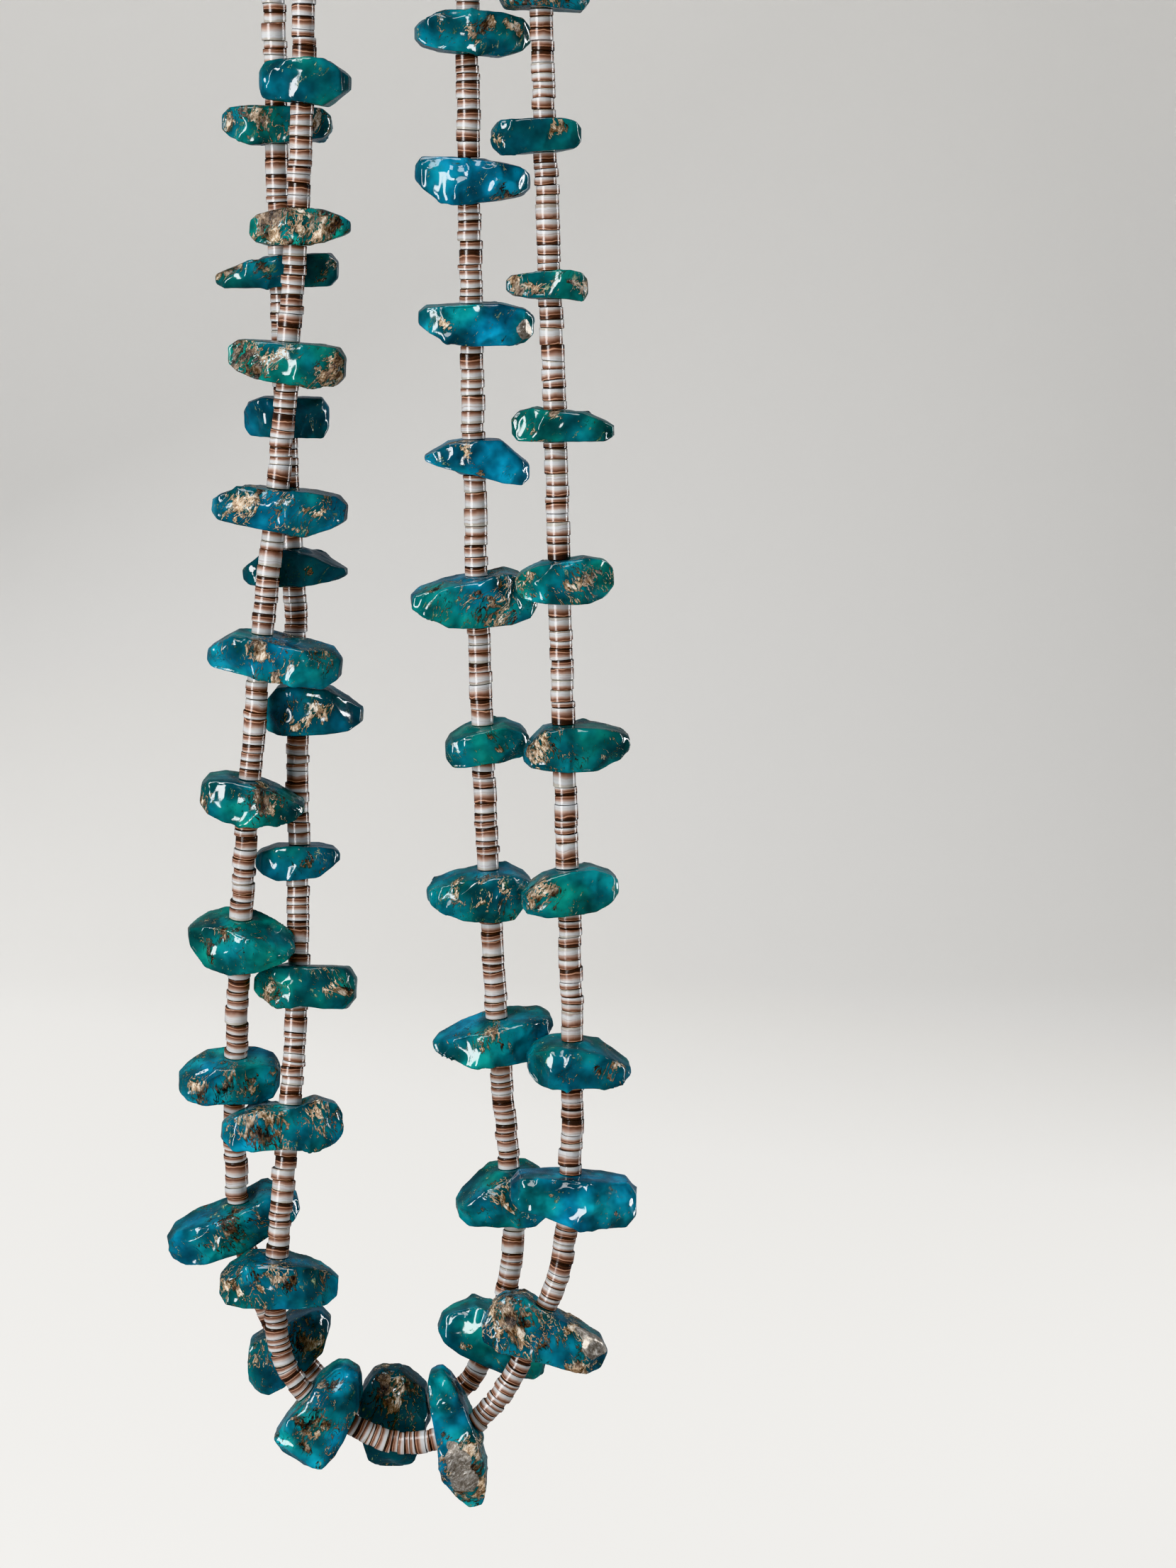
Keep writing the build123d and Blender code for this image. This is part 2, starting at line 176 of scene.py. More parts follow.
# Cotton thread
# Each strand is strung on one waxed cotton thread, whose ends are glued into the clasp. It shows
# only as a dark line where a disc meets a stone. The strands' chosen points are in millimetres.
MM = 0.001
THREAD_RADIUS = 0.3 * MM
THREAD_SIDES = 8
THREAD_STEP = 1.0 * MM
LINE_STEPS = 24
LOOK_AHEAD = 0.3 * MM
FIBRE_SIZE = 0.15 * MM
FIBRE_RELIEF = 0.05 * MM
STRAND_POINTS = {
    "inner": [
        (-3.1, -3.0, 1.6), (-12.5, -3.0, 0.2), (-19.3, -3.0, -6.0), (-22.2, -3.2, -14.8),
        (-21.5, -3.6, -30.5), (-17.6, -4.1, -58.5), (-15.9, -4.3, -87.3), (-17.1, -4.3, -114.4),
        (-18.8, -4.3, -137.3), (-20.7, -4.3, -161.4), (-23.8, -4.3, -187.1), (-26.6, -4.2, -211.8),
        (-28.8, -3.3, -237.7), (-30.8, 0.0, -264.6), (-32.6, 4.8, -297.7), (-28.0, 5.0, -321.5),
        (-16.7, 5.0, -334.6), (-12.3, 5.0, -339.3), (4.9, 5.0, -339.2), (12.2, 5.0, -332.6),
        (19.1, 5.0, -312.4), (16.8, 5.0, -284.3), (14.7, 4.5, -256.4), (13.6, 4.0, -229.2),
        (12.7, 4.0, -204.1), (12.1, 3.5, -177.6), (11.6, 3.0, -154.4), (11.5, 2.5, -130.6),
        (11.2, 2.0, -105.2), (11.2, 1.5, -82.5), (13.4, 0.4, -57.0), (18.9, -1.8, -32.0),
        (22.2, -3.0, -14.8), (19.3, -3.0, -6.0), (12.5, -3.0, 0.2), (3.1, -3.0, 1.6),
    ],
    "outer": [
        (-3.1, 3.0, 1.6), (-12.5, 3.0, 0.2), (-19.3, 3.0, -6.0), (-22.2, 3.2, -14.8),
        (-22.9, 3.6, -32.0), (-22.4, 4.1, -63.5), (-21.9, 4.3, -96.6), (-21.8, 4.3, -121.3),
        (-21.4, 4.3, -145.7), (-20.8, 4.3, -171.7), (-19.6, 4.3, -197.0), (-19.8, 4.0, -224.4),
        (-19.7, 2.5, -248.3), (-20.5, -1.5, -272.3), (-22.9, -5.0, -297.3), (-25.0, -5.0, -319.5),
        (-21.6, -5.0, -332.1), (-6.5, -5.0, -341.9), (0.5, -5.0, -343.0), (13.9, -5.0, -339.2),
        (25.9, -5.0, -314.4), (28.0, -5.0, -304.1), (29.2, -5.0, -284.1), (28.9, -5.0, -256.5),
        (27.9, -4.5, -228.5), (27.2, -4.0, -201.4), (26.5, -3.5, -172.8), (25.7, -3.0, -147.4),
        (24.9, -2.5, -123.4), (24.0, -2.0, -98.7), (23.9, -1.5, -75.2), (24.2, 0.0, -52.5),
        (23.4, 2.0, -31.5), (22.2, 3.0, -14.8), (19.3, 3.0, -6.0), (12.5, 3.0, 0.2),
        (3.1, 3.0, 1.6),
    ],
}

# Waxed cotton: a matt, slightly hairy twist of natural fibre, darkened by wear.
cotton, tree = new_material("waxed_cotton")
place = add_node(tree, "ShaderNodeTexCoord").outputs["Object"]
fibres = add_node(tree, "ShaderNodeTexNoise", {"Vector": place, "Scale": 1 / FIBRE_SIZE, "Detail": 3.0})
fibre_colour = add_node(tree, "ShaderNodeValToRGB", {"Fac": fibres.outputs["Fac"]},
                        stops=[(0.3, "#5c4c3a"), (0.7, "#a8977c")])
fibre_relief = add_node(tree, "ShaderNodeBump",
                        {"Height": fibres.outputs["Fac"], "Strength": 0.6, "Distance": FIBRE_RELIEF})
shader = add_node(tree, "ShaderNodeBsdfPrincipled", {
    "Base Color": fibre_colour.outputs["Color"], "Roughness": 0.8, "Sheen Weight": 0.2,
    "Normal": fibre_relief.outputs[0]})
add_node(tree, "ShaderNodeOutputMaterial", {"Surface": shader.outputs[0]})


def vertex_array(mesh):
    """A mesh's vertices as an array of points."""
    flat = np.empty(len(mesh.vertices) * 3, np.float32)
    mesh.vertices.foreach_get("co", flat)
    return flat.reshape(-1, 3)


def strand_line(points):
    """A strand's smooth line through its few points: its places, and the length up to each."""
    route = bpy.data.curves.new("route", "CURVE")
    route.dimensions = "3D"
    route.resolution_u = LINE_STEPS
    spline = route.splines.new("NURBS")
    spline.points.add(len(points) - 1)
    for target, point in zip(spline.points, points):
        target.co = (*(Vector(point) * MM), 1)
    spline.order_u = 3
    spline.use_endpoint_u = True
    holder = link_object("route", route)
    mesh = bpy.data.meshes.new_from_object(holder)
    bpy.data.objects.remove(holder)
    places = vertex_array(mesh).astype(float)
    steps = np.linalg.norm(np.diff(places, axis=0), axis=1)
    return places, np.concatenate([[0], np.cumsum(steps)])


def place_along(line, reach):
    """The place at a length along a strand."""
    places, lengths = line
    return np.array([np.interp(reach, lengths, places[:, axis]) for axis in range(3)])


def axes_along(line, reach):
    """The place, the direction and two square directions at a length along a strand."""
    ahead = place_along(line, reach + LOOK_AHEAD)
    behind = place_along(line, reach - LOOK_AHEAD)
    direction = (ahead - behind) / np.linalg.norm(ahead - behind)
    across = np.cross([0, 1, 0], direction)
    across /= np.linalg.norm(across)
    return place_along(line, reach), direction, across, np.cross(direction, across)


def turns_round(sides):
    """Angles spread evenly round a circle."""
    return np.arange(sides) * 2 * math.pi / sides


lines = {strand: strand_line(points) for strand, points in STRAND_POINTS.items()}
for strand, line in lines.items():
    length = line[1][-1]
    rings = int(length / THREAD_STEP)
    points = []
    for reach in np.linspace(0, length, rings):
        middle, _, across, back = axes_along(line, reach)
        points += [middle + THREAD_RADIUS * (math.cos(turn) * across + math.sin(turn) * back)
                   for turn in turns_round(THREAD_SIDES)]
    faces = []
    for ring in range(rings - 1):
        for side in range(THREAD_SIDES):
            after = (side + 1) % THREAD_SIDES
            faces.append([ring * THREAD_SIDES + side, ring * THREAD_SIDES + after,
                          (ring + 1) * THREAD_SIDES + after, (ring + 1) * THREAD_SIDES + side])
    faces.append(list(range(THREAD_SIDES))[::-1])
    faces.append(list(range((rings - 1) * THREAD_SIDES, rings * THREAD_SIDES)))
    mesh = bpy.data.meshes.new(strand + "_cotton")
    mesh.from_pydata(points, [], faces)
    mesh.materials.append(cotton)
    mesh.shade_smooth()
    thread = link_object(strand + "_cotton", mesh)
    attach(thread, "root")
    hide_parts(strand + "_thread")


# Turquoise nuggets
# Slices of rough turquoise, drilled through, then tumbled until their broken faces are glassy and
# their edges round. Brown, gold and white host rock runs through them, a little lower and duller.
NUGGET_VOXEL = 0.34 * MM
SOFTEN = 0.5
SOFTEN_STEPS = 2
# Broken faces: how many, how far they lean across and up, how squarely they face front or back, and
# the share of the stone's reach that they leave standing
BREAKS = 4
BREAK_ACROSS = 0.8
BREAK_UP = 0.7
BREAK_FACING = (0.6, 1.0)
BREAK_REACH = (0.80, 0.93)
# The flat seat for the discs round each end of the hole, and how squarely an end faces the thread
SEAT_RADIUS = 2.2 * MM
SEAT_EDGE = 4.0 * MM
END_FACING = 0.5
# Relief: soft hollows, lumps and dimples, full where a face looks front or back, less at the sides.
# A hollow's curve crosses the stone's own surface at SCOOP_LEVEL
SCOOP_SIZE = 7.0 * MM
SCOOP_DEPTH = 2.0 * MM
SCOOP_LEVEL = 0.3
LUMP_SIZE = 5.0 * MM
LUMP_HEIGHT = 0.18 * MM
DIMPLE_SIZE = 1.8 * MM
DIMPLE_HEIGHT = 0.03 * MM
FRONT_FACING = (0.3, 0.8)
SIDE_RELIEF = 0.2
# Host rock: some all over, and patches at this share of the stone's half depth, which fade between
# two shares of their radius and drift so that they aren't round
ROCK_SPREAD = 5.0 * MM
ROCK_BASE = 0.7
ROCK_SWING = 1.2
PATCH_LEVEL = 0.60
PATCH_DEPTH = 0.7
PATCH_FADE = (0.5, 2.2)
GLINT_FADE = (0.8, 1.6)
DRIFT_SIZE = 3.0 * MM
DRIFT = 2.5 * MM
GLINT_DRIFT = 0.4 * DRIFT
# Pits in the rock, which start and are deepest at these levels of it
PITTED = (0.35, 0.55)
PIT_SIZE = 0.8 * MM
PIT_DEPTH = 0.12 * MM
PIT_BASE = 0.3
PIT_SWING = 1.8
# Room for the discs of the other strand, round its line, where the two strands cross
STRAND_ROOM = 2.45 * MM
# How far the streaks of rock lean, in half turns
LEAN = (0.15, 0.75)
# A stone's number picks its patterns. These seeds are added to it, so that the patterns of one stone
# differ. A pattern moves this many of its own sizes along each axis from one seed to the next
BREAK_SEED = 100
ROCK_SEED = 20
DIMPLE_SEED = 50
PIT_SEED = 90
DRIFT_SEEDS = (200, 300, 400)
NOISE_SHIFT = (3.7, 1.3, 2.1)
SCOOP_SHIFT = (2.3, 3.1, 1.7)

# Each stone: green (1 green, 0 blue, the bluest below 0), dark (0 to 1: partly its own deeper colour,
# partly painted shade for stones that lay in shadow), rock (how much host rock it has all over), tone
# (0 golden white to 1 dark brown), lumps (under 1 smooth, 1 as broken and tumbled, 3 knobbly), and its
# patches of host rock seen from the front: (across, up, radius), the first two in shares of its half
# size, the radius in mm. The back has the same patches the other way round
STONES = {
    "inner_nugget_01": (0.55, 0.35, 0.10, 0.3, 1.0, [(0.1, 0.3, 0.8)]),
    "inner_nugget_02": (0.65, 0.0, 0.45, 0.3, 1.2,
                        [(-0.1, 0.3, 3.0), (-0.6, 0.4, 2.0), (0.35, 0.1, 3.0), (0.8, 0.2, 1.5)]),
    "inner_nugget_03": (0.60, 0.25, 0.35, 0.4, 1.0, [(-0.7, 0.0, 3.2), (0.75, -0.3, 2.4), (0.35, -0.8, 1.5)]),
    "inner_nugget_04": (0.15, 0.4, 0.30, 0.3, 1.0,
                        [(-0.6, 0.2, 2.0), (-0.3, 0.3, 1.4), (0.1, -0.1, 2.2), (0.55, -0.2, 1.8)]),
    "inner_nugget_05": (0.15, 0.2, 0.25, 0.4, 1.0, [(-0.2, 0.2, 2.4), (0.1, -0.2, 1.8)]),
    "inner_nugget_06": (0.65, 0.4, 0.15, 0.9, 1.0, [(0.25, 0.1, 2.6), (-0.9, 0.0, 1.6)]),
    "inner_nugget_07": (0.70, 0.35, 0.20, 0.7, 1.0, [(-0.7, -0.1, 2.2), (-0.2, 0.5, 1.8)]),
    "inner_nugget_08": (0.25, 0.1, 0.25, 0.7, 1.0, [(-0.5, 0.0, 1.6), (0.0, 0.0, 2.0), (0.5, 0.0, 1.4)]),
    "inner_nugget_09": (0.35, 0.25, 0.25, 0.7, 1.0, [(0.0, 0.0, 2.8)]),
    "inner_nugget_10": (0.20, 0.5, 0.25, 0.5, 1.5, [(-0.3, -0.4, 1.4), (0.5, 0.2, 2.0)]),
    "inner_nugget_11": (0.20, 0.9, 0.30, 0.9, 1.0, [(0.0, 0.6, 3.5), (0.2, 0.1, 1.8)]),
    "inner_nugget_12": (0.55, 0.35, 0.10, 0.5, 1.0, [(-0.5, 0.0, 1.2)]),
    "inner_nugget_13": (0.45, 0.3, 0.15, 0.4, 1.0, [(0.1, 0.0, 2.4)]),
    "inner_nugget_14": (0.30, 0.25, 0.15, 0.3, 1.0, [(0.0, 0.4, 2.2)]),
    "inner_nugget_15": (0.35, 0.35, 0.20, 0.4, 1.0, [(-0.3, -0.1, 1.6), (0.0, 0.1, 1.6), (0.3, 0.3, 1.6)]),
    "inner_nugget_16": (0.50, 0.45, 0.15, 0.5, 1.0, [(0.3, 0.0, 1.4)]),
    "inner_nugget_17": (0.35, 0.25, 0.30, 0.3, 3.0,
                        [(-0.55, 0.5, 1.6), (-0.15, 0.4, 1.2), (0.45, -0.1, 1.8), (0.1, 0.0, 1.2)]),
    "inner_nugget_18": (-0.10, 0.1, 0.08, 0.4, 0.7, [(-0.2, 0.7, 1.8), (0.05, -0.35, 1.3)]),
    "inner_nugget_19": (0.20, 0.0, 0.10, 0.1, 1.0, [(-0.6, -0.1, 1.2)]),
    "inner_nugget_20": (-0.25, 0.3, 0.10, 0.6, 1.2, [(0.0, -0.8, 1.6), (0.6, -0.6, 1.6), (0.3, 0.4, 1.0)]),
    "inner_nugget_21": (0.55, 0.4, 0.15, 0.5, 0.8, [(0.1, 0.0, 1.7), (0.3, 0.3, 1.2), (0.8, 0.4, 1.2)]),
    "outer_nugget_01": (0.50, 0.35, 0.35, 0.7, 1.2, [(-0.95, 0.3, 1.8), (-0.15, 0.1, 2.2), (0.75, 0.0, 2.0)]),
    "outer_nugget_02": (0.60, 0.55, 0.15, 0.6, 1.0, [(-0.75, 0.1, 1.4), (-0.1, 0.2, 2.2), (0.8, 0.0, 1.5)]),
    "outer_nugget_03": (0.30, 0.6, 0.00, 0.5, 0.8, []),
    "outer_nugget_04": (0.40, 0.85, 0.10, 0.6, 1.0, [(0.2, 0.0, 1.0)]),
    "outer_nugget_05": (0.30, 0.45, 0.15, 0.2, 1.0, [(0.0, 0.0, 2.4)]),
    "outer_nugget_06": (0.35, 0.5, 0.15, 0.6, 1.2, [(0.3, 0.0, 1.4)]),
    "outer_nugget_07": (0.75, 0.45, 0.20, 0.3, 2.0, [(-0.6, 0.0, 1.8), (0.7, 0.1, 1.5)]),
    "outer_nugget_08": (0.35, 0.0, 0.30, 0.2, 1.2, [(-0.25, 0.1, 3.4), (0.7, 0.0, 2.2)]),
    "outer_nugget_09": (0.30, 0.25, 0.30, 0.6, 1.0, [(-0.7, 0.0, 1.8), (-0.35, 0.0, 1.6), (0.2, 0.2, 2.2)]),
    "outer_nugget_10": (0.35, 0.0, 0.25, 0.6, 1.0, [(0.0, 0.0, 2.2), (-0.2, -0.3, 2.0), (0.3, 0.7, 1.6)]),
    "outer_nugget_11": (0.10, 0.05, 0.10, 0.4, 0.6, [(0.2, -0.2, 3.5), (0.45, -0.6, 4.0), (-0.2, 0.15, 1.0)]),
    "outer_nugget_12": (0.10, 0.3, 0.40, 0.3, 1.5,
                        [(-0.6, 0.4, 3.8), (-0.1, 0.0, 2.0), (0.5, 0.1, 2.2), (0.75, -0.2, 2.0)]),
    "outer_nugget_13": (0.15, 0.0, 0.04, 0.4, 0.6, [(-0.3, 0.5, 0.9), (0.7, -0.3, 0.7)]),
    "outer_nugget_14": (0.40, 0.4, 0.15, 0.5, 1.0, [(0.6, -0.2, 1.6)]),
    "outer_nugget_15": (0.85, 0.3, 0.15, 0.2, 1.0, [(-0.6, 0.0, 2.2)]),
    "outer_nugget_16": (0.50, 0.5, 0.25, 0.6, 1.0, [(-0.6, 0.0, 2.6)]),
    "outer_nugget_17": (0.45, 0.1, 0.30, 0.3, 2.5, [(-0.75, 0.3, 1.5), (0.2, 0.2, 1.6), (0.55, 0.2, 1.8)]),
    "outer_nugget_18": (0.80, 0.35, 0.12, 0.5, 1.0, [(-0.15, 0.5, 1.4), (-0.5, -0.4, 1.4)]),
    "outer_nugget_19": (0.70, 0.5, 0.20, 0.2, 1.0, [(-0.45, 0.0, 2.6), (0.8, 0.1, 1.4)]),
    "outer_nugget_20": (0.55, 0.5, 0.10, 0.4, 1.0, [(-0.8, -0.2, 1.4), (0.4, 0.3, 1.2)]),
    "outer_nugget_21": (0.50, 0.5, 0.30, 0.6, 1.0, [(-0.2, 0.0, 2.8), (0.5, -0.2, 1.6)]),
}

# Grey flats, worn smooth, on the fronts of three stones, partly their own grey-tan and partly a
# painted reflection of the light: (across, up, radius) as above
GLINTS = {
    "inner_nugget_19": [(0.95, -0.3, 1.8)],
    "outer_nugget_11": [(0.0, -0.2, 2.2), (0.2, -0.5, 2.4), (-0.1, 0.0, 1.6)],
    "outer_nugget_12": [(0.85, -0.2, 2.4), (0.6, 0.1, 1.2)],
}

# Tumbled turquoise: dense blue-green stone with a glassy polish and cloudy depth. Its host rock lies
# in leaning streaks, grainy and duller, and breaks the polish up into small sparkles. The grey flats
# are smooth and metallic with a satin shine, their pale grey partly a painted reflection of the light.
CLOUD_SIZE = 5.0 * MM
ZONE_SIZE = 9.0 * MM
VEIN_SIZE = 1.8 * MM
GRAIN_SIZE = 0.4 * MM
CLUMP_SIZE = 1.6 * MM
STREAK_STRETCH = 0.45
STONE_RELIEF = 0.25 * MM
STONE_GLOW_DEPTH = 0.8 * MM
turquoise, tree = new_material("tumbled_turquoise")
stone_tint = add_node(tree, "ShaderNodeAttribute", attribute_name="stone_tint")
tint = add_node(tree, "ShaderNodeSeparateColor", {"Color": stone_tint.outputs["Color"]})
stone_rock = add_node(tree, "ShaderNodeAttribute", attribute_name="stone_rock")
stone_glint = add_node(tree, "ShaderNodeAttribute", attribute_name="stone_glint")
place = add_node(tree, "ShaderNodeTexCoord").outputs["Object"]
lean = add_node(tree, "ShaderNodeMath", {0: stone_tint.outputs["Alpha"], 1: math.pi}, operation="MULTIPLY")
leaned = add_node(tree, "ShaderNodeVectorRotate", {"Vector": place, "Angle": lean.outputs[0]},
                  rotation_type="Y_AXIS")
streaky = add_node(tree, "ShaderNodeMapping",
                   {"Vector": leaned.outputs[0], "Scale": (STREAK_STRETCH, 1.0, 1.0)}).outputs[0]
clouds = add_node(tree, "ShaderNodeTexNoise",
                  {"Vector": place, "Scale": 1 / CLOUD_SIZE, "Detail": 3.0, "Roughness": 0.5})
zones = add_node(tree, "ShaderNodeTexNoise", {"Vector": place, "Scale": 1 / ZONE_SIZE, "Detail": 1.0})
veins = add_node(tree, "ShaderNodeTexNoise", {"Vector": streaky, "Scale": 1 / VEIN_SIZE, "Detail": 8.0,
                                              "Roughness": 0.74, "Distortion": 1.0})
grains = add_node(tree, "ShaderNodeTexNoise", {"Vector": streaky, "Scale": 1 / GRAIN_SIZE, "Detail": 5.0,
                                               "Roughness": 0.72, "Distortion": 0.8})
clumps = add_node(tree, "ShaderNodeTexNoise", {"Vector": streaky, "Scale": 1 / CLUMP_SIZE, "Detail": 3.0,
                                               "Roughness": 0.6, "Distortion": 0.8})

# Clouds from dark to light, in blue and in green, and wide zones where the green shows more
blues = add_node(tree, "ShaderNodeValToRGB", {"Fac": clouds.outputs["Fac"]},
                 stops=[(0.32, "#022c3d"), (0.45, "#04475f"), (0.55, "#066180"), (0.70, "#1687a9")])
greens = add_node(tree, "ShaderNodeValToRGB", {"Fac": clouds.outputs["Fac"]},
                  stops=[(0.32, "#032f2b"), (0.45, "#064d47"), (0.55, "#096b61"), (0.70, "#1e907f")])
zone_lift = add_node(tree, "ShaderNodeMapRange", {"Value": zones.outputs["Fac"], "From Min": 0.35,
                                                  "From Max": 0.65, "To Min": -0.28, "To Max": 0.52})
greenness = add_node(tree, "ShaderNodeMath", {0: tint.outputs["Red"], 1: zone_lift.outputs[0]},
                     operation="ADD", use_clamp=True)
stone_colour = add_node(tree, "ShaderNodeMix", {"Factor": greenness.outputs[0], 6: blues.outputs["Color"],
                                                7: greens.outputs["Color"]}, data_type="RGBA")
# Each stone's dark value mixes it toward deep teal: partly its own deeper colour, partly painted shade
darkened = add_node(tree, "ShaderNodeMix", {"Factor": tint.outputs["Green"], 6: stone_colour.outputs[2],
                                            7: linear("#012a33")}, data_type="RGBA")

# Host rock, golden or brown, speckled by its grains
mottle = add_node(tree, "ShaderNodeMath", {0: grains.outputs["Fac"], 1: 0.5}, operation="MULTIPLY")
speckle = add_node(tree, "ShaderNodeMath", {0: clumps.outputs["Fac"], 1: 0.5, 2: mottle.outputs[0]},
                   operation="MULTIPLY_ADD")
golden = add_node(tree, "ShaderNodeValToRGB", {"Fac": speckle.outputs[0]},
                  stops=[(0.36, "#1a120c"), (0.42, "#4a3626"), (0.48, "#83684d"), (0.53, "#b29c80"),
                         (0.59, "#e2dacd")])
brown = add_node(tree, "ShaderNodeValToRGB", {"Fac": speckle.outputs[0]},
                 stops=[(0.38, "#080504"), (0.47, "#1c120c"), (0.52, "#3b291c"), (0.57, "#624b36"),
                        (0.64, "#a5937b")])
tone_drift = add_node(tree, "ShaderNodeMapRange", {"Value": clouds.outputs["Fac"], "From Min": 0.35,
                                                   "From Max": 0.65, "To Min": -0.9, "To Max": 0.9})
rock_tone = add_node(tree, "ShaderNodeMath", {0: tint.outputs["Blue"], 1: tone_drift.outputs[0]},
                     operation="ADD", use_clamp=True)
rock_colour = add_node(tree, "ShaderNodeMix", {"Factor": rock_tone.outputs[0], 6: golden.outputs["Color"],
                                               7: brown.outputs["Color"]}, data_type="RGBA")

# Where the rock shows: in patches with ragged edges, and along thin veins
vein_line = add_node(tree, "ShaderNodeMath", {0: clumps.outputs["Fac"], 1: 0.5}, operation="SUBTRACT")
vein_width = add_node(tree, "ShaderNodeMath", {0: vein_line.outputs[0]}, operation="ABSOLUTE")
vein_reach = add_node(tree, "ShaderNodeMath", {0: stone_rock.outputs["Fac"], 1: 1.0, 2: 0.17},
                      operation="MULTIPLY_ADD")
vein_lift = add_node(tree, "ShaderNodeMapRange", {"Value": vein_width.outputs[0], "From Min": 0.0,
                                                  "From Max": 0.035, "To Min": vein_reach.outputs[0],
                                                  "To Max": 0.0})
ragged = add_node(tree, "ShaderNodeMapRange", {"Value": veins.outputs["Fac"], "From Min": 0.2,
                                               "From Max": 0.8, "To Min": 0.0, "To Max": 1.0})
rough_level = add_node(tree, "ShaderNodeMath", {0: stone_rock.outputs["Fac"], 1: ragged.outputs[0]},
                       operation="ADD")
rock_level = add_node(tree, "ShaderNodeMath", {0: rough_level.outputs[0], 1: vein_lift.outputs[0]},
                      operation="ADD")
rock = add_node(tree, "ShaderNodeMapRange",
                {"Value": rock_level.outputs[0], "From Min": 1.01, "From Max": 1.06},
                interpolation_type="SMOOTHSTEP").outputs[0]

# A dark green rim round the rock, and small flecks of dark to pale green
halo = add_node(tree, "ShaderNodeMapRange",
                {"Value": rock_level.outputs[0], "From Min": 0.86, "From Max": 1.02, "To Max": 0.75},
                interpolation_type="SMOOTHSTEP").outputs[0]
haloed = add_node(tree, "ShaderNodeMix", {"Factor": halo, 6: darkened.outputs[2], 7: linear("#0b3a2e")},
                  data_type="RGBA")
fleck_level = add_node(tree, "ShaderNodeMath", {0: clumps.outputs["Fac"], 1: 0.8, 2: grains.outputs["Fac"]},
                       operation="MULTIPLY_ADD")
chip = add_node(tree, "ShaderNodeMapRange", {"Value": fleck_level.outputs[0], "From Min": 1.05,
                                             "From Max": 1.11}).outputs[0]
chip_colour = add_node(tree, "ShaderNodeValToRGB", {"Fac": veins.outputs["Fac"]},
                       stops=[(0.35, "#0d302a"), (0.50, "#4d6650"), (0.65, "#a8b08c")])
flecked = add_node(tree, "ShaderNodeMix",
                   {"Factor": chip, 6: haloed.outputs[2], 7: chip_colour.outputs["Color"]},
                   data_type="RGBA")
veined = add_node(tree, "ShaderNodeMix", {"Factor": rock, 6: flecked.outputs[2], 7: rock_colour.outputs[2]},
                  data_type="RGBA")

# Grey flats, pale partly as a painted reflection of the light
glint_edge = add_node(tree, "ShaderNodeMath", {0: veins.outputs["Fac"], 1: stone_glint.outputs["Fac"]},
                      operation="ADD")
glint = add_node(tree, "ShaderNodeMapRange",
                 {"Value": glint_edge.outputs[0], "From Min": 0.95, "From Max": 1.05},
                 interpolation_type="SMOOTHSTEP").outputs[0]
flat_and_sheen_colour = add_node(tree, "ShaderNodeValToRGB", {"Fac": grains.outputs["Fac"]},
                        stops=[(0.40, "#7a7268"), (0.52, "#a49c92"), (0.64, "#d6d3cd")])
colour = add_node(tree, "ShaderNodeMix",
                  {"Factor": glint, 6: veined.outputs[2], 7: flat_and_sheen_colour.outputs["Color"]},
                  data_type="RGBA")

# The polish is duller on rock and on the grey flats, and the relief is roughest on rock
rock_polish = add_node(tree, "ShaderNodeMapRange", {"Value": rock, "To Min": 0.11, "To Max": 0.26})
polish = add_node(tree, "ShaderNodeMapRange",
                  {"Value": glint, "To Min": rock_polish.outputs[0], "To Max": 0.36})
metal = add_node(tree, "ShaderNodeMath", {0: glint, 1: 0.7}, operation="MULTIPLY")
rock_relief = add_node(tree, "ShaderNodeMath", {0: grains.outputs["Fac"], 1: rock}, operation="MULTIPLY")
worn = add_node(tree, "ShaderNodeMapRange", {"Value": glint, "To Min": 1.0, "To Max": 0.10})
worn_relief = add_node(tree, "ShaderNodeMath", {0: rock_relief.outputs[0], 1: worn.outputs[0]},
                       operation="MULTIPLY")
chipped = add_node(tree, "ShaderNodeMath", {0: chip, 1: -0.25, 2: worn_relief.outputs[0]},
                   operation="MULTIPLY_ADD")
wavy_relief = add_node(tree, "ShaderNodeMath", {0: clumps.outputs["Fac"], 1: 0.06, 2: chipped.outputs[0]},
                       operation="MULTIPLY_ADD")
relief_height = add_node(tree, "ShaderNodeMath",
                         {0: veins.outputs["Fac"], 1: 0.03, 2: wavy_relief.outputs[0]},
                         operation="MULTIPLY_ADD")
relief = add_node(tree, "ShaderNodeBump",
                  {"Height": relief_height.outputs[0], "Strength": 0.8, "Distance": STONE_RELIEF})
shader = add_node(tree, "ShaderNodeBsdfPrincipled", {
    "Base Color": colour.outputs[2], "Roughness": polish.outputs[0], "IOR": 1.61,
    "Metallic": metal.outputs[0], "Normal": relief.outputs[0], "Subsurface Weight": 0.05,
    "Subsurface Radius": (0.3, 0.9, 1.0), "Subsurface Scale": STONE_GLOW_DEPTH})
add_node(tree, "ShaderNodeOutputMaterial", {"Surface": shader.outputs[0]})


def smooth_rise(values, low, high):
    """0 below low, 1 above high, and smooth between them."""
    share = np.clip((values - low) / (high - low), 0, 1)
    return share * share * (3 - 2 * share)


def with_modifier(mesh, kind, **settings):
    """A new mesh: the old one with one modifier applied."""
    holder = link_object("blank", mesh)
    modifier = holder.modifiers.new("step", kind)
    for key, value in settings.items():
        setattr(modifier, key, value)
    evaluated = holder.evaluated_get(bpy.context.evaluated_depsgraph_get())
    made = bpy.data.meshes.new_from_object(evaluated)
    bpy.data.objects.remove(holder)
    return made


def noise_at(points, size, seed):
    """Smooth noise at each point: lumps of the given size, in a pattern that the seed picks."""
    shift = Vector([seed * step for step in NOISE_SHIFT])
    return np.array([noise.noise(Vector(point) / size + shift) for point in points.tolist()])


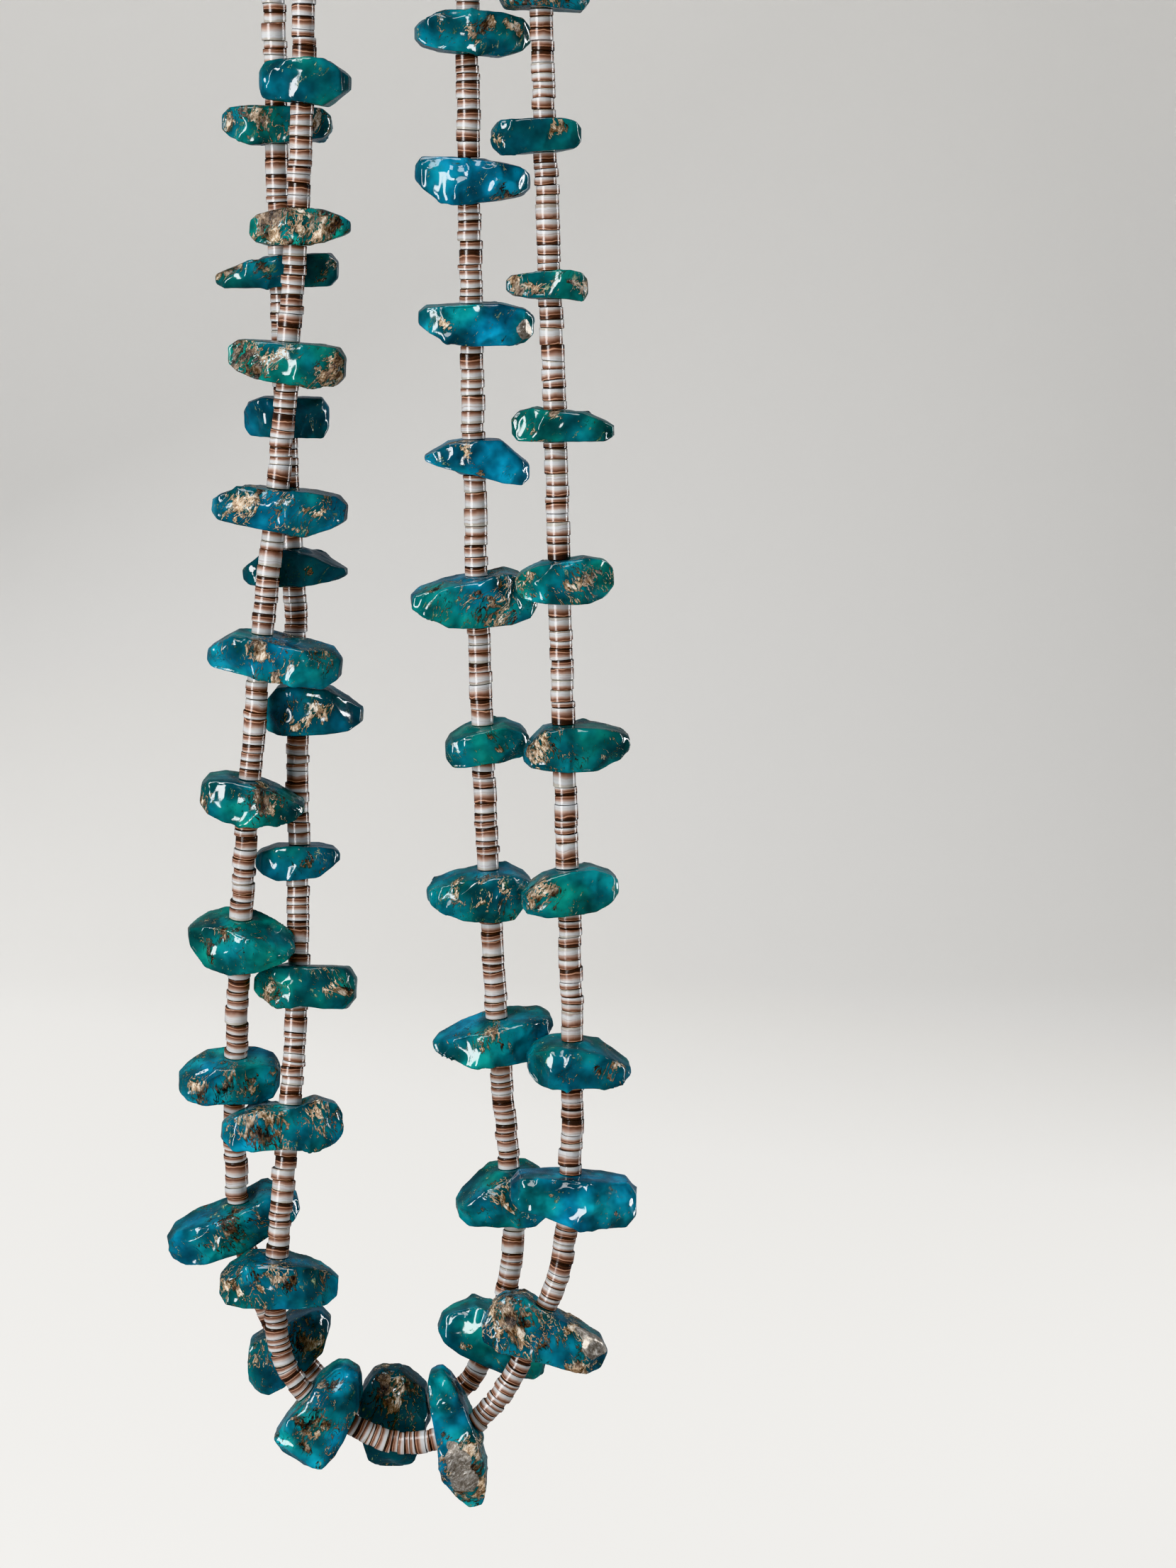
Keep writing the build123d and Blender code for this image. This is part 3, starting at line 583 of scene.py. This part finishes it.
def scoop_at(points, size, seed):
    """Shallow hollows that meet in ridges: 0 in the middle of each hollow, and most on the ridges."""
    shift = Vector([seed * step for step in SCOOP_SHIFT])
    return np.array([noise.voronoi(Vector(point) / size + shift)[0][0] ** 2 for point in points.tolist()])


def surface_tree(mesh):
    """A mesh's surface, ready to be asked what lies near it."""
    mesh.calc_loop_triangles()
    return BVHTree.FromPolygons([vertex.co for vertex in mesh.vertices],
                                [tuple(triangle.vertices) for triangle in mesh.loop_triangles])


def shave_breaks(points, centre, dice):
    """Moves a stone's points back onto a few planes at the front and the back: its broken faces."""
    for cut in range(BREAKS):
        facing = -1 if cut % 2 == 0 else 1
        normal = np.array([dice.uniform(-BREAK_ACROSS, BREAK_ACROSS), facing * dice.uniform(*BREAK_FACING),
                           dice.uniform(-BREAK_UP, BREAK_UP)])
        normal /= np.linalg.norm(normal)
        distance = (points - centre) @ normal
        over = distance - distance.max() * dice.uniform(*BREAK_REACH)
        points -= np.outer(np.maximum(over, 0), normal)


def level_seats(points, normals, centre, line):
    """Flattens a seat for the discs round each end of the hole, and gives each point's share in it."""
    nearest = np.argmin(np.linalg.norm(line[0] - centre, axis=1))
    middle, direction, _, _ = axes_along(line, line[1][nearest])
    along = (points - middle) @ direction
    off_thread = np.linalg.norm(points - middle - np.outer(along, direction), axis=1)
    seat = 1 - smooth_rise(off_thread, SEAT_RADIUS, SEAT_EDGE)
    for side in (-1, 1):
        facing = normals @ direction * side > END_FACING
        ring = facing & (off_thread < SEAT_RADIUS)
        foot, square, _, _ = axes_along(line, line[1][nearest] + along[ring].mean())
        points[facing] += np.outer(((foot - points[facing]) @ square) * seat[facing], square)
    return seat


def rock_at(points, centre, half, drift, amount, patches, number):
    """How much host rock each point has: some all over, and more in the patches."""
    level = amount * (ROCK_BASE + ROCK_SWING * noise_at(points, ROCK_SPREAD, number + ROCK_SEED))
    for across, up, radius in patches:
        for face in (-1, 1):
            target = centre + half * np.array([-face * across, PATCH_DEPTH * face, up])
            gap = np.linalg.norm(points + DRIFT * drift - target, axis=1)
            fade = smooth_rise(gap, PATCH_FADE[0] * radius * MM, PATCH_FADE[1] * radius * MM)
            level = np.maximum(level, PATCH_LEVEL * (1 - fade))
    return level


def glint_at(points, centre, half, drift, flats):
    """How much of a grey flat, partly a painted reflection, each point has, from 0 to 1."""
    level = np.zeros(len(points))
    for across, up, radius in flats:
        target = centre + half * np.array([across, -PATCH_DEPTH, up])
        gap = np.linalg.norm(points + GLINT_DRIFT * drift - target, axis=1)
        fade = smooth_rise(gap, GLINT_FADE[0] * radius * MM, GLINT_FADE[1] * radius * MM)
        level = np.maximum(level, 1 - fade)
    return level


def relief_at(points, normals, drift, lumps, rock_level, glint_level, number):
    """How far each point stands out: lumps, dimples and soft hollows, and pits in the rock."""
    height = lumps * (LUMP_HEIGHT * noise_at(points, LUMP_SIZE, number)
                      + DIMPLE_HEIGHT * noise_at(points, DIMPLE_SIZE, number + DIMPLE_SEED))
    height += SCOOP_DEPTH * (scoop_at(points + DRIFT * drift, SCOOP_SIZE, number) - SCOOP_LEVEL)
    height *= SIDE_RELIEF + (1 - SIDE_RELIEF) * smooth_rise(np.abs(normals[:, 1]), *FRONT_FACING)
    pits = PIT_BASE + np.abs(noise_at(points, PIT_SIZE, number + PIT_SEED)) * PIT_SWING
    return height - PIT_DEPTH * pits * smooth_rise(rock_level, *PITTED) * (1 - glint_level)


def clear_strand(points, centre, half, places):
    """Moves a stone's points out of the way of the discs of a strand that crosses it."""
    crossing = places[np.abs(places - centre).max(axis=1) < half.max() + STRAND_ROOM]
    if len(crossing):
        closest = crossing[np.linalg.norm(points[:, None] - crossing[None], axis=2).argmin(axis=1)]
        away = points - closest
        gap = np.linalg.norm(away, axis=1)
        points += away * (np.maximum(STRAND_ROOM - gap, 0) / gap)[:, None]


stone_surfaces = {}
for number, (name, (green, dark, rock_amount, tone, lumps, patches)) in enumerate(STONES.items()):
    dice = random.Random(BREAK_SEED + number)
    mesh = with_modifier(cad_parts[name].data.copy(), "REMESH", mode="VOXEL", voxel_size=NUGGET_VOXEL)
    points = vertex_array(mesh).astype(float)
    low, high = points.min(axis=0), points.max(axis=0)
    centre, half = (low + high) / 2, (high - low) / 2
    shave_breaks(points, centre, dice)
    mesh.vertices.foreach_set("co", points.ravel())
    mesh = with_modifier(mesh, "SMOOTH", factor=SOFTEN, iterations=SOFTEN_STEPS)
    mesh.name = name + "_stone"

    points = vertex_array(mesh).astype(float)
    normals = np.array([vertex.normal for vertex in mesh.vertices])
    strand, other = ("inner", "outer") if name.startswith("inner") else ("outer", "inner")
    seat = level_seats(points, normals, centre, lines[strand])
    drift = np.stack([noise_at(points, DRIFT_SIZE, number + seed) for seed in DRIFT_SEEDS], axis=1)
    rock_level = rock_at(points, centre, half, drift, rock_amount, patches, number)
    glint_level = glint_at(points, centre, half, drift, GLINTS.get(name, []))
    height = relief_at(points, normals, drift, lumps, rock_level, glint_level, number)
    points += normals * (height * (1 - seat))[:, None]
    clear_strand(points, centre, half, lines[other][0])
    mesh.vertices.foreach_set("co", points.ravel())

    tint_layer = mesh.attributes.new("stone_tint", "FLOAT_COLOR", "POINT")
    tint_layer.data.foreach_set("color", np.tile([green, dark, tone, dice.uniform(*LEAN)], len(points)))
    rock_layer = mesh.attributes.new("stone_rock", "FLOAT", "POINT")
    rock_layer.data.foreach_set("value", rock_level.astype(np.float32))
    glint_layer = mesh.attributes.new("stone_glint", "FLOAT", "POINT")
    glint_layer.data.foreach_set("value", glint_level.astype(np.float32))
    mesh.materials.clear()
    mesh.materials.append(turquoise)
    mesh.shade_smooth()
    stone = link_object(name + "_stone", mesh)
    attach(stone, "root")
    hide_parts(name)
    stone_surfaces[name] = surface_tree(mesh)


# Clasp
# A smooth bar of silver, drilled for the ends of both threads and brushed along its length. It
# lies behind the neck, where nobody sees it.
SCRATCH_SIZE = 0.12 * MM
SCRATCH_STRETCH = 0.05
SCRATCH_RELIEF = 0.02 * MM

# Brushed silver: fine scratches along the bar, which give it a satin shine.
silver, tree = new_material("brushed_silver")
place = add_node(tree, "ShaderNodeTexCoord").outputs["Object"]
along_bar = add_node(tree, "ShaderNodeMapping", {"Vector": place, "Scale": (SCRATCH_STRETCH, 1.0, 1.0)})
scratches = add_node(tree, "ShaderNodeTexNoise",
                     {"Vector": along_bar.outputs[0], "Scale": 1 / SCRATCH_SIZE, "Detail": 4.0})
brushing = add_node(tree, "ShaderNodeMapRange",
                    {"Value": scratches.outputs["Fac"], "To Min": 0.22, "To Max": 0.42})
tarnish = add_node(tree, "ShaderNodeValToRGB", {"Fac": scratches.outputs["Fac"]},
                   stops=[(0.3, "#b9b6ad"), (0.7, "#d9d8d4")])
scratch_relief = add_node(tree, "ShaderNodeBump",
                          {"Height": scratches.outputs["Fac"], "Strength": 0.3, "Distance": SCRATCH_RELIEF})
shader = add_node(tree, "ShaderNodeBsdfPrincipled", {
    "Base Color": tarnish.outputs["Color"], "Metallic": 1.0, "Roughness": brushing.outputs[0],
    "Normal": scratch_relief.outputs[0]})
add_node(tree, "ShaderNodeOutputMaterial", {"Surface": shader.outputs[0]})
clasp_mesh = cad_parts["clasp"].data
for index in range(len(clasp_mesh.materials)):
    clasp_mesh.materials[index] = silver


# Heishi
# Thin discs sawn from striped shell, drilled, strung and ground round together, so that each has
# a white, a rosy brown and a dark band across its rim. They touch face to face between two stones.
DISC_RADIUS = 2.0 * MM
RADIUS_SPREAD = (0.955, 1.045)
BORE_RADIUS = 0.5 * MM
WORN_EDGE = 0.13 * MM
DISC_SIDES = 24
RINGS = 6
# A run ends this clear of a stone, which is felt for at points round the face of its last disc
STONE_CLEAR = 0.04 * MM
WALK_STEP = 0.06 * MM
FEEL_SHARES = (0.5, 1.0)
FEEL_TURNS = turns_round(8)
# Thicknesses in millimetres and how often each comes. The discs round the bottom are thinner
THICKNESSES = (1.1, 1.3, 1.5, 1.7, 1.9, 2.3, 2.9)
THICKNESS_ODDS = (1, 3, 5, 4, 4, 3, 2)
THICKNESS_SPREAD = (0.92, 1.08)
THIN_BELOW = -325 * MM
THIN_SHARE = 0.72
# How unevenly the discs lie: the tilt of their faces in radians, how far off the line they sit, and
# the share of them that is turned over
TILT = 0.035
OFF_CENTRE = 0.11 * MM
TURNED_OVER = 0.15
# How far a disc's bands are shifted, in shares of its thickness: above 0 more of it is dark
BAND_SHIFTS = (-0.18, -0.1, -0.04, 0.0, 0.04, 0.1, 0.16, 0.28)
# Which end of a disc is white on each arm of a strand: the lower one, or the upper one
WHITE_END_DOWN = {("inner", "left"): True, ("inner", "right"): True,
                  ("outer", "left"): True, ("outer", "right"): False}

# Ground shell: hard, dense and glossy like porcelain. Its growth layers cross the rim as cool
# white, warm tan, red-brown, one crisp caramel line and near black, a little wavy.
WAVE_SIZE = 3.0 * MM
# About how many growth lines cross a disc, and how far apart the discs' patterns lie
GROWTH_LINES = 9.0
PATTERN_SPREAD = 60.0
PORE_SIZE = 0.5 * MM
PORE_RELIEF = 0.04 * MM
SHELL_GLOW_DEPTH = 0.5 * MM
shell, tree = new_material("ground_striped_shell")
disc_band = add_node(tree, "ShaderNodeAttribute", attribute_name="disc_band")
band = add_node(tree, "ShaderNodeSeparateColor", {"Color": disc_band.outputs["Color"]})
disc_edge = add_node(tree, "ShaderNodeAttribute", attribute_name="disc_edge")
place = add_node(tree, "ShaderNodeTexCoord").outputs["Object"]
seed_turn = add_node(tree, "ShaderNodeMath", {0: band.outputs["Green"], 1: PATTERN_SPREAD},
                     operation="MULTIPLY")
waves = add_node(tree, "ShaderNodeTexNoise", {"Vector": place, "W": seed_turn.outputs[0],
                                              "Scale": 1 / WAVE_SIZE, "Detail": 2.0}, noise_dimensions="4D")
waviness = add_node(tree, "ShaderNodeMapRange", {"Value": waves.outputs["Fac"], "From Min": 0.3,
                                                 "From Max": 0.7, "To Min": -0.10, "To Max": 0.10})
wavy_band = add_node(tree, "ShaderNodeMath", {0: band.outputs["Red"], 1: waviness.outputs[0]},
                     operation="ADD")
layer_level = add_node(tree, "ShaderNodeMath", {0: wavy_band.outputs[0], 1: band.outputs["Blue"]},
                       operation="ADD")
layers = add_node(tree, "ShaderNodeValToRGB", {"Fac": layer_level.outputs[0]},
                  stops=[(0.00, "#98948c"), (0.10, "#a9abae"), (0.37, "#a6a4a2"), (0.51, "#967f73"),
                         (0.63, "#7b5d50"), (0.73, "#5d4237"), (0.80, "#583d32"), (0.83, "#a67f6a"),
                         (0.87, "#ad866f"), (0.90, "#50382e"), (0.95, "#3f2c24"), (1.00, "#2b1f19")])
layer_depth = add_node(tree, "ShaderNodeMath", {0: layer_level.outputs[0], 1: GROWTH_LINES},
                       operation="MULTIPLY")
layer_place = add_node(tree, "ShaderNodeCombineXYZ",
                       {"X": layer_depth.outputs[0], "Y": seed_turn.outputs[0], "Z": waves.outputs["Fac"]})
growth_lines = add_node(tree, "ShaderNodeTexNoise", {"Vector": layer_place.outputs[0], "Scale": 1.0,
                                                     "Detail": 3.0, "Roughness": 0.6})
line_strength = add_node(tree, "ShaderNodeMapRange", {"Value": growth_lines.outputs["Fac"], "From Min": 0.52,
                                                      "From Max": 0.68, "To Max": 0.55})
lined = add_node(tree, "ShaderNodeMix", {"Factor": line_strength.outputs[0], 6: layers.outputs["Color"],
                                         7: linear("#6f4c3c")}, data_type="RGBA")
# Painted shade: faces and worn bevels darken toward dark brown, in the groove between touching discs
painted_seam_shade = add_node(tree, "ShaderNodeMapRange",
                 {"Value": disc_edge.outputs["Fac"], "From Min": 0.35, "From Max": 1.0, "To Max": 0.85})
seam_shaded = add_node(tree, "ShaderNodeMix", {"Factor": painted_seam_shade.outputs[0], 6: lined.outputs[2],
                                         7: linear("#2a2216")}, data_type="RGBA")
pores = add_node(tree, "ShaderNodeTexNoise", {"Vector": place, "Scale": 1 / PORE_SIZE, "Detail": 3.0})
gloss = add_node(tree, "ShaderNodeMapRange", {"Value": pores.outputs["Fac"], "To Min": 0.12, "To Max": 0.34})
pore_relief = add_node(tree, "ShaderNodeBump",
                       {"Height": pores.outputs["Fac"], "Strength": 0.25, "Distance": PORE_RELIEF})
shader = add_node(tree, "ShaderNodeBsdfPrincipled", {
    "Base Color": seam_shaded.outputs[2], "Roughness": gloss.outputs[0], "IOR": 1.55,
    "Normal": pore_relief.outputs[0], "Subsurface Weight": 0.08,
    "Subsurface Radius": (1.0, 0.8, 0.6), "Subsurface Scale": SHELL_GLOW_DEPTH})
add_node(tree, "ShaderNodeOutputMaterial", {"Surface": shader.outputs[0]})


def walk_to(line, start, step, surface):
    """How far a disc can go along a strand before it meets a stone or the clasp."""
    reach = start
    while 0 < reach + step < line[1][-1]:
        middle, _, across, back = axes_along(line, reach + step)
        rim = [middle + share * DISC_RADIUS * (math.cos(turn) * across + math.sin(turn) * back)
               for share in FEEL_SHARES for turn in FEEL_TURNS]
        if min(surface.find_nearest(Vector(point))[3] for point in rim) < STONE_CLEAR:
            break
        reach += step
    return reach


def disc_bounds(line, start, end, dice):
    """The lengths at which the discs of one run meet, from start to end."""
    low = place_along(line, (start + end) / 2)[2] < THIN_BELOW
    thicknesses = []
    while sum(thicknesses) < end - start:
        thickness = dice.choices(THICKNESSES, THICKNESS_ODDS)[0] * dice.uniform(*THICKNESS_SPREAD) * MM
        thicknesses.append(thickness * (THIN_SHARE if low else 1))
    edges = np.concatenate([[0], np.cumsum(thicknesses)])
    return start + edges * (end - start) / edges[-1]


def slide(middle, face, reach_out, direction):
    """Points around a disc's axis, slid along it onto the disc's slightly tilted face."""
    return middle + reach_out - np.outer(reach_out @ face / (direction @ face), direction)


def add_discs(line, strand, bounds, dice, points, normals, bands, edges):
    """Adds the rings of points, their loop normals and their attributes for the discs of one run."""
    planes = []
    for reach in bounds:
        middle, direction, across, back = axes_along(line, reach)
        tilt = TILT if bounds[0] < reach < bounds[-1] else 0
        tilted = direction + dice.gauss(0, tilt) * across + dice.gauss(0, tilt) * back
        tilted /= np.linalg.norm(tilted)
        planes.append((middle, tilted))
    turns = turns_round(DISC_SIDES)
    for (start, start_face), (end, end_face) in zip(planes, planes[1:]):
        direction = (end - start) / np.linalg.norm(end - start)
        thickness = np.linalg.norm(end - start)
        across = np.cross([0, 1, 0], direction)
        across /= np.linalg.norm(across)
        back = np.cross(direction, across)
        shift = OFF_CENTRE * (dice.gauss(0, 1) * across + dice.gauss(0, 1) * back)
        radius = DISC_RADIUS * dice.uniform(*RADIUS_SPREAD)
        outward = np.cos(turns)[:, None] * across + np.sin(turns)[:, None] * back
        worn = WORN_EDGE / thickness
        arm = "left" if direction[2] < 0 else "right"
        white_first = WHITE_END_DOWN[strand, arm] == (arm == "right")
        if dice.random() < TURNED_OVER:
            white_first = not white_first
        seed = dice.random()
        shift_band = dice.choice(BAND_SHIFTS)
        # Each ring: how far along the disc, how far out, the face it belongs to, and its painted seam shade
        for along_share, reach_out, facing, edge in (
            (0.0, BORE_RADIUS, -start_face, 1.0), (0.0, radius - WORN_EDGE, -start_face, 1.0),
            (worn, radius, None, 0.0), (1 - worn, radius, None, 0.0),
            (1.0, radius - WORN_EDGE, end_face, 1.0), (1.0, BORE_RADIUS, end_face, 1.0),
        ):
            first = slide(start + shift, start_face, outward * reach_out, direction)
            last = slide(end + shift, end_face, outward * reach_out, direction)
            points.append(first * (1 - along_share) + last * along_share)
            normals.append(outward if facing is None else np.tile(facing, (DISC_SIDES, 1)))
            share = along_share if white_first else 1 - along_share
            bands.append(np.tile([share, seed, shift_band, 1.0], (DISC_SIDES, 1)))
            edges.append(np.full(DISC_SIDES, edge))


disc_faces = np.array([[ring * DISC_SIDES + side, ring * DISC_SIDES + (side + 1) % DISC_SIDES,
                        (ring + 1) % RINGS * DISC_SIDES + (side + 1) % DISC_SIDES,
                        (ring + 1) % RINGS * DISC_SIDES + side]
                       for ring in range(RINGS) for side in range(DISC_SIDES)])
clasp_surface = surface_tree(clasp_mesh)
for strand, line in lines.items():
    places, lengths = line
    marks = []
    for name, surface in stone_surfaces.items():
        if name.startswith(strand):
            low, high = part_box(name)
            nearest = np.argmin(np.linalg.norm(places - np.array((low + high) / 2), axis=1))
            marks.append((lengths[nearest], surface))
    marks = [(0.0, clasp_surface), *sorted(marks, key=lambda mark: mark[0]), (lengths[-1], clasp_surface)]
    parts = {strand + "_neck_heishi": [], strand + "_heishi": []}
    for index, ((before, surface_before), (after, surface_after)) in enumerate(zip(marks, marks[1:])):
        middle = (before + after) / 2
        run = (walk_to(line, middle, -WALK_STEP, surface_before),
               walk_to(line, middle, WALK_STEP, surface_after))
        hidden = index in (0, len(marks) - 2)
        parts[strand + ("_neck_heishi" if hidden else "_heishi")].append(run)
    for name, runs in parts.items():
        dice = random.Random(name)
        points, normals, bands, edges = [], [], [], []
        for start, end in runs:
            add_discs(line, strand, disc_bounds(line, start, end, dice), dice, points, normals, bands, edges)
        count = len(points) // RINGS
        faces = (disc_faces[None] + np.arange(count)[:, None, None] * RINGS * DISC_SIDES).reshape(-1, 4)
        mesh = bpy.data.meshes.new(name + "_discs")
        mesh.from_pydata(np.concatenate(points).tolist(), [], faces.tolist())
        mesh.shade_smooth()
        mesh.normals_split_custom_set_from_vertices(np.concatenate(normals).tolist())
        band_layer = mesh.attributes.new("disc_band", "FLOAT_COLOR", "POINT")
        band_layer.data.foreach_set("color", np.concatenate(bands).ravel())
        edge_layer = mesh.attributes.new("disc_edge", "FLOAT", "POINT")
        edge_layer.data.foreach_set("value", np.concatenate(edges))
        mesh.materials.append(shell)
        discs = link_object(name + "_discs", mesh)
        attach(discs, "root")
        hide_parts(name)
